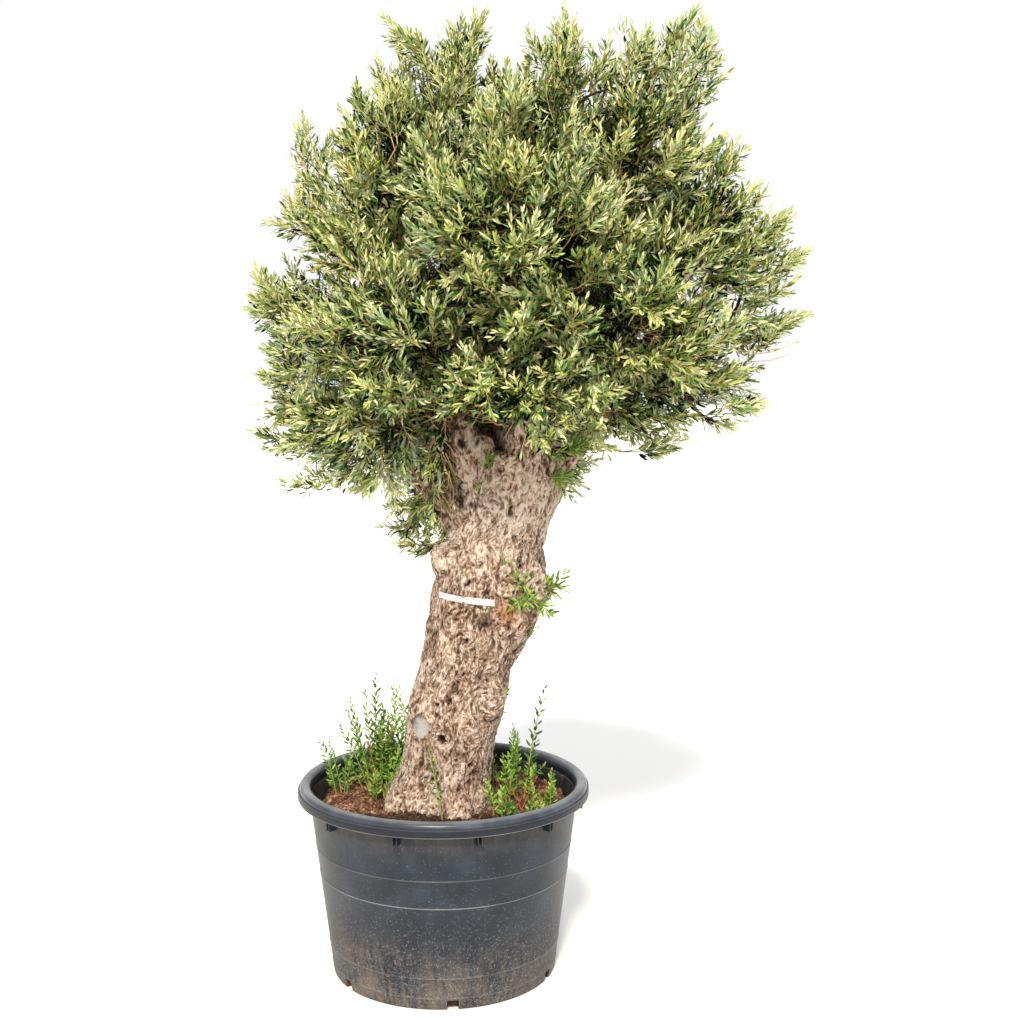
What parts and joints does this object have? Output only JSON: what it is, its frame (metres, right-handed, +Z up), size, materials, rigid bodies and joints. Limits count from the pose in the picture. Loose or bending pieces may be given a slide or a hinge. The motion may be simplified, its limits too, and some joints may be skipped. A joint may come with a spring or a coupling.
{
  "type": "potted olive tree",
  "caption": "Old olive tree with a thick, gnarled, leaning trunk and a rounded, shaggy crown of narrow grey-green leaves, in a round dark plastic nursery pot.",
  "frame": {"origin": "centre of the pot's flat underside, on the ground", "axes": "+Z up, along the height of the tree; -Y is the front; the trunk leans towards +X"},
  "size_m": [1.222, 1.125, 2.112],
  "materials": {
    "bark": "matte",
    "leaves": "matte",
    "pot_plastic": "satin",
    "soil": "matte",
    "tag_plastic": "satin"
  },
  "bodies": {
    "root": {"pot": "pot_plastic", "soil": "soil", "trunk": "bark", "tag": "tag_plastic", "bough_low_left": "bark", "bough_left": "bark", "bough_right": "bark", "bough_centre": "bark", "bough_back_left": "bark", "bough_back_right": "bark", "bough_front": "bark", "foliage_top_left": "leaves", "foliage_top_middle": "leaves", "foliage_top_right": "leaves", "foliage_right_upper": "leaves", "foliage_right_lower": "leaves", "foliage_low_right": "leaves", "foliage_left_upper": "leaves", "foliage_left_middle": "leaves", "foliage_left_lower": "leaves", "foliage_hanging": "leaves", "foliage_front_upper": "leaves", "foliage_front_left": "leaves", "foliage_front_lower": "leaves", "foliage_front_right": "leaves", "foliage_back_upper": "leaves", "foliage_back_left": "leaves", "foliage_back_right": "leaves", "foliage_back_lower": "leaves"}
  },
  "joints": []
}
